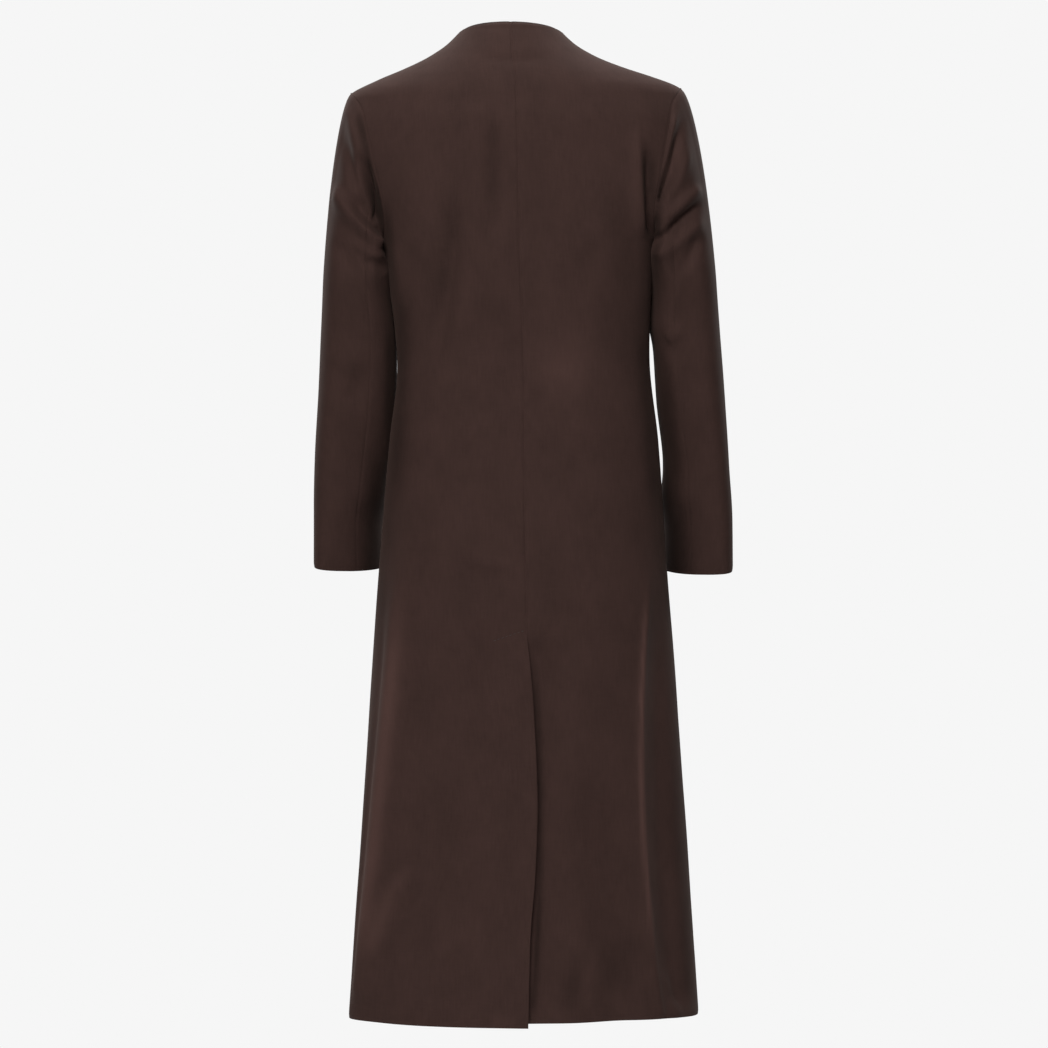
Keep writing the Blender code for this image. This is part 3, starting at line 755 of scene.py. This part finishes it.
def front_turn(level):
    """Turn of a front's inner edge: the slant of the neck, and the straight edge below it."""
    out = np.where(level > NECK_FRONT_BOTTOM, FRONT_NECK_WIDTH(level - NECK_BLUNT), FRONT_GAP / 2)
    half_width, _, depth, power = (curve(level) for curve in BODY_CURVES)
    along = depth * (1 - np.minimum(out / half_width, 1.0) ** power) ** (1 / power)
    return np.degrees(np.arctan2(out, -along))


def front_surface(side, across, rise):
    """Upright points of one front over its grid."""
    turn, level = panel_spots(crowded(across), rise, False, front_turn)
    return body_point(side * turn, level + hem_lift(side, turn, level))


def ring_point(side, phi, level):
    """Points of a sleeve's rings below the armhole, on the right."""
    outer, inner, ahead, half_depth, pitch = (curve(level) for curve in SLEEVE_CURVES[side])
    sideways = np.sin(np.radians(phi))
    outwards = np.cos(np.radians(phi))
    low = ease((SLEEVE_TURN_FROM - level) / (SLEEVE_TURN_FROM - SLEEVE_RINGS[side][-1].level))
    rounded = 2 / (SLEEVE_POWER - SLEEVE_ROUNDING * low * (outwards < 0))
    back = half_depth * np.sign(sideways) * np.abs(sideways) ** rounded
    aside = np.sign(outwards) * np.abs(outwards) ** rounded
    out = (outer + inner) / 2 + (outer - inner) / 2 * aside
    drop = back * np.tan(np.radians(pitch))
    return np.stack((out, ahead - back - SLEEVE_TURN * low * aside, level - drop), axis=-1)


def sleeve_start(phi):
    """The sleeve's first points at the armhole on the right, and the way they leave."""
    turn, level = armhole_spot(phi)
    edge = body_point(turn, level)
    normal = body_normal(turn, level)
    along = body_point(*armhole_spot(phi + LOOP_STEP)) - body_point(*armhole_spot(phi - LOOP_STEP))
    across = unit(np.cross(normal, along))
    outward = body_point(SIDE_SEAM, ARMHOLE_MID) - edge
    across = across * np.sign((across * outward).sum(axis=-1, keepdims=True))
    lift = np.radians(LEAVE_CURVES[0](180 - np.abs(180 - phi % 360)))[..., None]
    return edge, across * np.cos(lift) + normal * np.sin(lift)


def sleeve_surface(side, start, end, across, rise):
    """Upright points of one sleeve piece between two seams; rise runs from the cuff to the armhole."""
    rings = SLEEVE_RINGS[side]
    phi = start + (end - start) * crowded(across)
    row = 2 * (1 - rise)
    top = np.full_like(row, rings[0].level)
    low = ring_point(side, phi, top + (rings[-1].level - rings[0].level) * np.maximum(row - 1, 0.0))
    first, leaving = sleeve_start(phi)
    last = ring_point(side, phi, top)
    falling = unit(ring_point(side, phi, top - LEVEL_STEP) - last)
    start_pull, end_pull = (curve(180 - np.abs(180 - phi % 360))[..., None] for curve in LEAVE_CURVES[1:])
    cap = hermite(row[..., None], first, leaving * start_pull, last, falling * end_pull)
    points = np.where(row[..., None] >= 1, low, cap)
    return points * np.array((side, 1.0, 1.0))


def grid_normals(points, facing):
    """Outward directions of a grid of points."""
    upward = np.gradient(points, axis=0)
    along = np.gradient(points, axis=1)
    return facing * unit(np.cross(along, upward))


def walked(points, axis):
    """Distance walked over a grid along one axis from its start."""
    steps = np.linalg.norm(np.diff(points, axis=axis), axis=-1)
    first = np.zeros_like(np.take(steps, [0], axis=axis))
    return np.concatenate((first, np.cumsum(steps, axis=axis)), axis=axis)


def crease_line(crease):
    """Points along a crease, as seen from the back, in metres."""
    t = np.linspace(0.0, 1.0, CREASE_STEPS + 1)[:, None]
    start = np.array((crease.x_a, crease.z_a)) * MM
    middle = np.array((crease.x_m, crease.z_m)) * MM
    end = np.array((crease.x_b, crease.z_b)) * MM
    pull = 2 * middle - (start + end) / 2
    return start * (1 - t) ** 2 + pull * (2 * t * (1 - t)) + end * t**2


def creased(points, normals, creases, face):
    """How far the creases of one face move each point out."""
    moved = np.zeros(points.shape[:-1])
    seen = ease(normals[..., 1] * face * CREASE_FACING)
    flat = points[..., (0, 2)]
    for crease in creases:
        line = crease_line(crease)
        reach = CREASE_WIDTHS * max(crease.left, crease.right) * MM
        near = ((flat > line.min(axis=0) - reach) & (flat < line.max(axis=0) + reach)).all(axis=-1)
        spot = flat[near]
        run = np.diff(line, axis=0)
        offset = spot[:, None, :] - line[None, :-1, :]
        share = np.clip((offset * run).sum(axis=-1) / (run * run).sum(axis=-1), 0.0, 1.0)
        away = offset - run * share[..., None]
        distance = np.linalg.norm(away, axis=-1)
        best = distance.argmin(axis=1)
        rows = np.arange(len(spot))
        at = (best + share[rows, best]) / CREASE_STEPS
        turned = run[best, 0] * away[rows, best, 1] - run[best, 1] * away[rows, best, 0]
        width = np.where(turned > 0, crease.left, crease.right) * MM
        shape = np.exp(-((distance[rows, best] / width) ** 2))
        fade = ease(at / crease.rise) * ease((1 - at) / crease.fall)
        moved[near] += crease.height * MM * shape * fade
    return moved * seen


def unevenness(points):
    """Slight rises and hollows of cloth that nothing presses flat."""
    scale = np.array((UNEVEN_ACROSS, UNEVEN_ACROSS, UNEVEN_DOWN))
    heights = [noise.noise(spot) for spot in (points / scale).reshape(-1, 3)]
    return UNEVEN * np.array(heights).reshape(points.shape[:-1])


def puckers(levels):
    """How strongly a seam draws the cloth in at each of its rows."""
    pulls = [noise.noise((0.0, 0.0, level / PUCKER_RUN)) for level in levels.ravel()]
    return 1 + PUCKER * np.array(pulls).reshape(levels.shape)


def rolled(distance, dip, roll):
    """How far the cloth rolls in near an edge."""
    return -dip * np.exp(-((distance / roll) ** 2))


def add_piece(name, mesh, material):
    """Links a finished mesh into the scene as a smooth object that rides on the coat's body."""
    data = bpy.data.meshes.new(name)
    mesh.to_mesh(data)
    mesh.free()
    data.materials.append(material)
    data.polygons.foreach_set("use_smooth", [True] * len(data.polygons))
    piece = bpy.data.objects.new(name, data)
    bpy.context.scene.collection.objects.link(piece)
    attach(piece, "root")
    return piece


def mark_cut(mesh, order, from_start, from_low):
    """Gives each corner its place on the flat cut, for the grain to follow."""
    place = np.empty((len(order), 2))
    place[order] = np.stack((from_start, from_low), axis=-1).reshape(-1, 2)
    layer = mesh.loops.layers.uv.new("cut")
    for face in mesh.faces:
        for loop in face.loops:
            loop[layer].uv = place[loop.vert.index]


def trim(mesh, order, across, keep):
    """Deletes the faces that a piece does not keep, from their farthest column and highest level."""
    share = np.empty(len(order))
    share[order] = across.ravel()
    lost = []
    for face in mesh.faces:
        farthest = max(share[vert.index] for vert in face.verts)
        if not keep(farthest, max(vert.co.z for vert in face.verts)):
            lost.append(face)
    bmesh.ops.delete(mesh, geom=lost, context="FACES")


def add_cloth(node, grid, facing, surface, shape, sizes, keep=None, painted_shading=()):
    """Adds one cloth piece: a grid laid on its surface, creased, and given its thickness."""
    mesh = bmesh.new()
    # The grid is one unit wide about its middle, and is read from its low corner
    bmesh.ops.create_grid(mesh, x_segments=grid[0], y_segments=grid[1], size=0.5)
    spots = np.array([vert.co[:2] for vert in mesh.verts]) + 0.5
    order = np.lexsort(spots.round(GRID_DIGITS).T)
    across, rise = (spots[order, i].reshape(-1, grid[0] + 1) for i in (0, 1))
    points = posed(surface(across, rise))
    normals = grid_normals(points, facing)
    from_start = walked(points, 1)
    from_low = walked(points, 0)
    moved = shape(points, normals, from_start, from_low)
    points = points + normals * moved[..., None]
    # Painted light and shade, as shares of the way from dark to light fibres, kept in the layer named nap
    toward_light_fibres = creased(points, normals, painted_shading, BACK_FACE) / MM * PAINTED_SHADE_SHARE
    nap = mesh.verts.layers.float.new("nap")
    mesh.verts.ensure_lookup_table()
    for index, point, share in zip(order, points.reshape(-1, 3), toward_light_fibres.ravel()):
        mesh.verts[index].co = point
        mesh.verts[index][nap] = share
    if facing < 0:
        bmesh.ops.reverse_faces(mesh, faces=mesh.faces)
    mark_cut(mesh, order, from_start, from_low)
    if keep:
        trim(mesh, order, across, keep)
    for edge in mesh.edges:
        edge.smooth = not edge.is_boundary
    piece = add_piece(node + "_cloth", mesh, wool())
    thick = piece.modifiers.new("Cloth", "SOLIDIFY")
    thick.thickness = sizes.wall
    thick.offset = -1.0
    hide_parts(node)


def fill_inputs(tree, node, inputs):
    """Gives a node's inputs their values, or links them to other nodes' outputs."""
    for name, value in inputs.items():
        if isinstance(value, bpy.types.NodeSocket):
            tree.links.new(value, node.inputs[name])
        else:
            node.inputs[name].default_value = value


def add_node(tree, kind, inputs, **settings):
    """Adds a shader node with its settings, input values and links."""
    node = tree.nodes.new(kind)
    for name, value in settings.items():
        setattr(node, name, value)
    fill_inputs(tree, node, inputs)
    return node


def wool():
    """Dark brown wool: a matte, slightly napped cloth with a fine grain down its length."""
    name = "dark brown wool"
    if name in bpy.data.materials:
        return bpy.data.materials[name]
    colours = bpy.context.scene.coat_colours
    material = bpy.data.materials.new(name)
    material.use_nodes = True
    tree = material.node_tree
    cut = add_node(tree, "ShaderNodeUVMap", {}, uv_map="cut").outputs["UV"]
    drawn = []
    for pattern in (GRAIN, WEFT, PATCHES):
        scale = (1 / pattern.across, 1 / pattern.down, 1.0)
        place = add_node(tree, "ShaderNodeMapping", {"Vector": cut, "Scale": scale}).outputs["Vector"]
        look = {"Vector": place, "Scale": 1.0, "Detail": pattern.detail, "Roughness": PATTERN_ROUGHNESS}
        drawn.append(add_node(tree, "ShaderNodeTexNoise", look).outputs["Fac"])
    grain, weft, patches = drawn
    weave = {"Factor": WEFT_SHARE, "A": grain, "B": weft}
    woven = add_node(tree, "ShaderNodeMix", weave, data_type="FLOAT").outputs["Result"]
    brushing = {"Factor": PATCH_SHARE, "A": woven, "B": patches}
    toward_light_fibres = add_node(tree, "ShaderNodeMix", brushing, data_type="FLOAT").outputs["Result"]
    fibres = add_node(tree, "ShaderNodeMapRange", {"Value": toward_light_fibres, **FIBRE_RANGE}).outputs["Result"]
    # The layer named nap holds painted light and shade, which lighten or darken the fibres' colour
    marks = add_node(tree, "ShaderNodeAttribute", {}, attribute_name="nap").outputs["Fac"]
    light = add_node(tree, "ShaderNodeMath", {0: fibres, 1: marks}, operation="ADD").outputs["Value"]
    blend = {"Factor": light, "A": linear(colours.wool), "B": linear(colours.wool_light)}
    colour = add_node(tree, "ShaderNodeMix", blend, data_type="RGBA").outputs["Result"]
    relief = add_node(tree, "ShaderNodeBump", {"Height": woven, **WEAVE_RELIEF}).outputs["Normal"]
    surface = {"Base Color": colour, "Normal": relief, "Sheen Tint": linear(colours.sheen), **WOOL_FINISH}
    fill_inputs(tree, tree.nodes["Principled BSDF"], surface)
    return material


def plain(name, colour, roughness):
    """A material of one colour with no pattern."""
    material = bpy.data.materials.new(name)
    material.use_nodes = True
    tree = material.node_tree
    fill_inputs(tree, tree.nodes["Principled BSDF"], {"Base Color": linear(colour), "Roughness": roughness})
    return material


def back_shape(side, sizes, points, normals, from_start, from_low):
    """How far the creases, seams and edges of a back move each point out."""
    level = points[..., 2]
    to_seam = from_start[:, [-1 - ALLOWANCE_COLUMNS]] - from_start
    at_centre = [UNDERLAP_COLUMNS if side > 0 else 0]
    to_centre = from_start - from_start[:, at_centre]
    drawn = sizes.seam_dip * puckers(points[:, at_centre, 2])
    turned_in = ease(to_seam / NECK_DIP_RUN)
    neck_dip = sizes.edge_dip + (sizes.neck_dip - sizes.edge_dip) * turned_in
    moved = creased(points, normals, BACK_CREASES + SKIRT_CREASES, BACK_FACE) + unevenness(points)
    moved = moved * ease(np.abs(to_seam) / CREASE_START)
    moved = moved + rolled(to_centre, np.where(level > VENT_TOP, drawn, 0.0), sizes.seam_roll)
    moved = moved + rolled(to_seam - sizes.seam_roll, sizes.sleeve_dip, sizes.seam_roll / 2)
    moved = moved - TUCK * ease(-to_seam / TUCK_RUN)
    moved = moved - TUCK * ease(-to_centre / TUCK_RUN) * ease((level - VENT_TOP) / VENT_FADE)
    moved = moved + rolled(from_low, sizes.edge_dip, sizes.edge_roll)
    return moved + rolled(from_low[-1:, :] - from_low, neck_dip, sizes.edge_roll)


def back_keeps(side, share, level):
    """Tells if a face of a back stays: its allowance ends below the neck, and its underlap above the vent."""
    if share > OUTER_SEAM + SHARE_SLACK and level > NECK_POINT - NECK_TRIM:
        return False
    return side < 0 or share > CENTRE_TRIM + SHARE_SLACK or level < VENT_TOP


def front_shape(sizes, points, normals, from_start, from_low):
    """How far the creases, seams and edges of a front move each point out."""
    to_seam = from_start[:, -1:] - from_start
    moved = creased(points, normals, FRONT_CREASES, FRONT_FACE) + unevenness(points)
    moved = moved * ease(to_seam / CREASE_START)
    moved = moved + rolled(from_start, sizes.edge_dip, sizes.edge_roll)
    moved = moved + rolled(to_seam - sizes.seam_roll, sizes.sleeve_dip, sizes.seam_roll / 2)
    return moved + rolled(from_low, sizes.edge_dip, sizes.edge_roll)


def sleeve_shape(side, sizes, points, normals, from_start, from_low):
    """How far the creases, puffs, seams and cuff of a sleeve piece move each point out."""
    creases = RIGHT_SLEEVE_CREASES if side > 0 else LEFT_SLEEVE_CREASES
    moved = creased(points, normals, creases, BACK_FACE) + unevenness(points)
    moved = moved + creased(points, normals, SLEEVE_FRONT_CREASES, FRONT_FACE)
    inward = ease(-side * normals[..., 0] * CREASE_FACING)
    for puff in PUFFS:
        if puff.side == side:
            away = (points[..., 2] - puff.level * MM) / (puff.reach * MM)
            moved = moved + puff.height * MM * inward * np.exp(-(away**2))
    moved = moved * ease((from_low[-1:, :] - from_low) / CREASE_START)
    moved = moved + rolled(from_start, sizes.sleeve_dip, sizes.seam_roll)
    moved = moved + rolled(from_start[:, -1:] - from_start, sizes.sleeve_dip, sizes.seam_roll)
    return moved + rolled(from_low, sizes.edge_dip, sizes.edge_roll)


def add_sleeves(name, grid, start, end, sizes):
    """Adds one piece of each sleeve, between two of its seams."""
    for side, word in SIDES:
        surface = partial(sleeve_surface, side, start, end)
        shape = partial(sleeve_shape, side, sizes)
        add_cloth(name + word, grid, -side, surface, shape, sizes, painted_shading=SLEEVE_PAINTED_LIGHT_AND_SHADE)


class COAT_OT_backs(bpy.types.Operator):
    """Adds the two backs, which meet at the centre seam and lap at the vent."""

    bl_idname = "coat.backs"
    bl_label = "Backs"

    def execute(self, context):
        sizes = context.scene.coat_sizes
        for side, word in SIDES:
            surface = partial(back_surface, side, sizes)
            shape = partial(back_shape, side, sizes)
            keep = partial(back_keeps, side)
            add_cloth("back_" + word, BACK_GRID, side, surface, shape, sizes, keep, BACK_PAINTED_LIGHT_AND_SHADE)
        return {"FINISHED"}


class COAT_OT_fronts(bpy.types.Operator):
    """Adds the two fronts, which the photo hides and which hang open by a narrow gap."""

    bl_idname = "coat.fronts"
    bl_label = "Fronts"

    def execute(self, context):
        sizes = context.scene.coat_sizes
        for side, word in SIDES:
            surface = partial(front_surface, side)
            add_cloth("front_" + word, FRONT_GRID, -side, surface, partial(front_shape, sizes), sizes)
        return {"FINISHED"}


class COAT_OT_top_sleeves(bpy.types.Operator):
    """Adds the outer piece of each sleeve, with its head set into the armhole."""

    bl_idname = "coat.top_sleeves"
    bl_label = "Top sleeves"

    def execute(self, context):
        sizes = context.scene.coat_sizes
        add_sleeves("top_sleeve_", TOP_SLEEVE_GRID, FORE_SEAM - 360.0, HIND_SEAM, sizes)
        return {"FINISHED"}


class COAT_OT_under_sleeves(bpy.types.Operator):
    """Adds the inner piece of each sleeve, beside the body."""

    bl_idname = "coat.under_sleeves"
    bl_label = "Under sleeves"

    def execute(self, context):
        sizes = context.scene.coat_sizes
        add_sleeves("under_sleeve_", UNDER_SLEEVE_GRID, HIND_SEAM, FORE_SEAM, sizes)
        return {"FINISHED"}


class COAT_OT_vent_stitches(bpy.types.Operator):
    """Sews the slanted stitches that hold the underlap at the vent's top."""

    bl_idname = "coat.vent_stitches"
    bl_label = "Vent stitches"

    def execute(self, context):
        sizes = context.scene.coat_sizes
        cloth = bpy.data.objects["back_left_cloth"]
        depsgraph = context.evaluated_depsgraph_get()
        start, end = (Vector((spot.x, 0.0, spot.z)) * MM for spot in STITCH_LINE)
        count = round((end - start).length / sizes.stitch_pitch)
        # A stitch is a ball one unit wide, drawn out along the line
        size = Matrix.Diagonal((sizes.stitch, sizes.thread, sizes.thread, 1.0))
        mesh = bmesh.new()
        for i in range(count):
            seen = start.lerp(end, i / (count - 1))
            viewer = Vector((seen.x, CAD_BOX[0][1] - STITCH_SIGHT, seen.z))
            hit = cloth.ray_cast(viewer, Vector((0.0, 1.0, 0.0)), depsgraph=depsgraph)
            found, spot, normal = hit[:3]
            if not found:
                raise RuntimeError("No cloth under a stitch")
            along = (end - start).normalized()
            along = (along - normal * along.dot(normal)).normalized()
            turned = Matrix((along, normal.cross(along), normal)).transposed().to_4x4()
            place = Matrix.Translation(spot) @ turned @ size
            bmesh.ops.create_uvsphere(
                mesh, u_segments=STITCH_SIDES, v_segments=STITCH_RINGS, radius=0.5, matrix=place
            )
        # Sewing thread is spun smooth, so it makes a darker, smoother line on the cloth
        thread = plain("sewing thread", context.scene.coat_colours.thread, THREAD_ROUGHNESS)
        piece = add_piece("vent_stitches", mesh, thread)
        piece.parent = cloth
        return {"FINISHED"}


class COAT_OT_stage(bpy.types.Operator):
    """Adds the floor, the soft studio light and the camera."""

    bl_idname = "coat.stage"
    bl_label = "Studio"

    def execute(self, context):
        scene = context.scene
        stage = scene.coat_stage
        colours = scene.coat_colours
        mesh = bmesh.new()
        bmesh.ops.create_circle(mesh, cap_ends=True, segments=FLOOR_EDGES, radius=stage.floor_radius)
        bmesh.ops.translate(mesh, verts=mesh.verts, vec=(0.0, 0.0, stage.floor_level))
        data = bpy.data.meshes.new("floor")
        mesh.to_mesh(data)
        mesh.free()
        # Floor paint is matte and pale, so it only throws soft light back up
        data.materials.append(plain("pale floor paint", colours.floor, FLOOR_ROUGHNESS))
        floor = bpy.data.objects.new("floor", data)
        scene.collection.objects.link(floor)
        world = bpy.data.worlds.new("pale studio")
        world.use_nodes = True
        self.paint(world.node_tree, linear(colours.room), linear(colours.background))
        scene.world = world
        scene.view_settings.view_transform = "Standard"
        for light in LIGHTS:
            self.add_light(scene, light, getattr(stage, light.power), stage.camera_level)
        lens = bpy.data.cameras.new("camera")
        lens.lens = stage.camera_lens
        lens.sensor_width = SENSOR_WIDTH
        camera = bpy.data.objects.new("camera", lens)
        camera.location = (stage.camera_across, -stage.camera_distance, stage.camera_level)
        camera.rotation_euler = (math.radians(90.0), 0.0, 0.0)
        scene.collection.objects.link(camera)
        scene.camera = camera
        return {"FINISHED"}

    def paint(self, tree, room, backdrop):
        """A dimmer room on the viewer's side of the coat, and a pale backdrop on the other."""
        place = add_node(tree, "ShaderNodeTexCoord", {}).outputs["Generated"]
        ahead = add_node(tree, "ShaderNodeSeparateXYZ", {"Vector": place}).outputs["Y"]
        fading = {"Value": ahead, **BACKDROP_RANGE}
        share = add_node(tree, "ShaderNodeMapRange", fading, interpolation_type="SMOOTHSTEP")
        blend = {"Factor": share.outputs["Result"], "A": room, "B": backdrop}
        colour = add_node(tree, "ShaderNodeMix", blend, data_type="RGBA").outputs["Result"]
        fill_inputs(tree, tree.nodes["Background"], {"Color": colour})

    def add_light(self, scene, light, power, aim_level):
        """Hangs one soft square light, turned towards the middle of the coat."""
        lamp = bpy.data.lights.new(light.name, "AREA")
        lamp.shape = "SQUARE"
        lamp.size = light.width
        lamp.energy = power
        holder = bpy.data.objects.new(light.name, lamp)
        holder.location = light.place
        holder.visible_camera = False
        way = Vector((0.0, 0.0, aim_level)) - Vector(light.place)
        holder.rotation_euler = way.to_track_quat("-Z", "Y").to_euler()
        scene.collection.objects.link(holder)


class COAT_PT_panel(bpy.types.Panel):
    """Lists the coat's pieces and the studio."""

    bl_idname = "COAT_PT_panel"
    bl_label = "Collarless coat"
    bl_space_type = "VIEW_3D"
    bl_region_type = "UI"
    bl_category = "Coat"

    def draw(self, context):
        for operator in OPERATORS:
            self.layout.operator(operator.bl_idname)


OPERATORS = (
    COAT_OT_backs,
    COAT_OT_fronts,
    COAT_OT_top_sleeves,
    COAT_OT_under_sleeves,
    COAT_OT_vent_stitches,
    COAT_OT_stage,
)
CLASSES = (CoatSizes, CoatColours, CoatStage, *OPERATORS, COAT_PT_panel)


def register():
    """Registers the classes and the settings they read."""
    for each in CLASSES:
        bpy.utils.register_class(each)
    bpy.types.Scene.coat_sizes = bpy.props.PointerProperty(type=CoatSizes)
    bpy.types.Scene.coat_colours = bpy.props.PointerProperty(type=CoatColours)
    bpy.types.Scene.coat_stage = bpy.props.PointerProperty(type=CoatStage)


def unregister():
    """Takes the settings and classes away again."""
    del bpy.types.Scene.coat_stage
    del bpy.types.Scene.coat_colours
    del bpy.types.Scene.coat_sizes
    for each in reversed(CLASSES):
        bpy.utils.unregister_class(each)


def main():
    """Builds the coat and the studio."""
    register()
    bpy.ops.coat.backs()
    bpy.ops.coat.fronts()
    bpy.ops.coat.top_sleeves()
    bpy.ops.coat.under_sleeves()
    bpy.ops.coat.vent_stitches()
    bpy.ops.coat.stage()


if __name__ == "__main__":
    main()
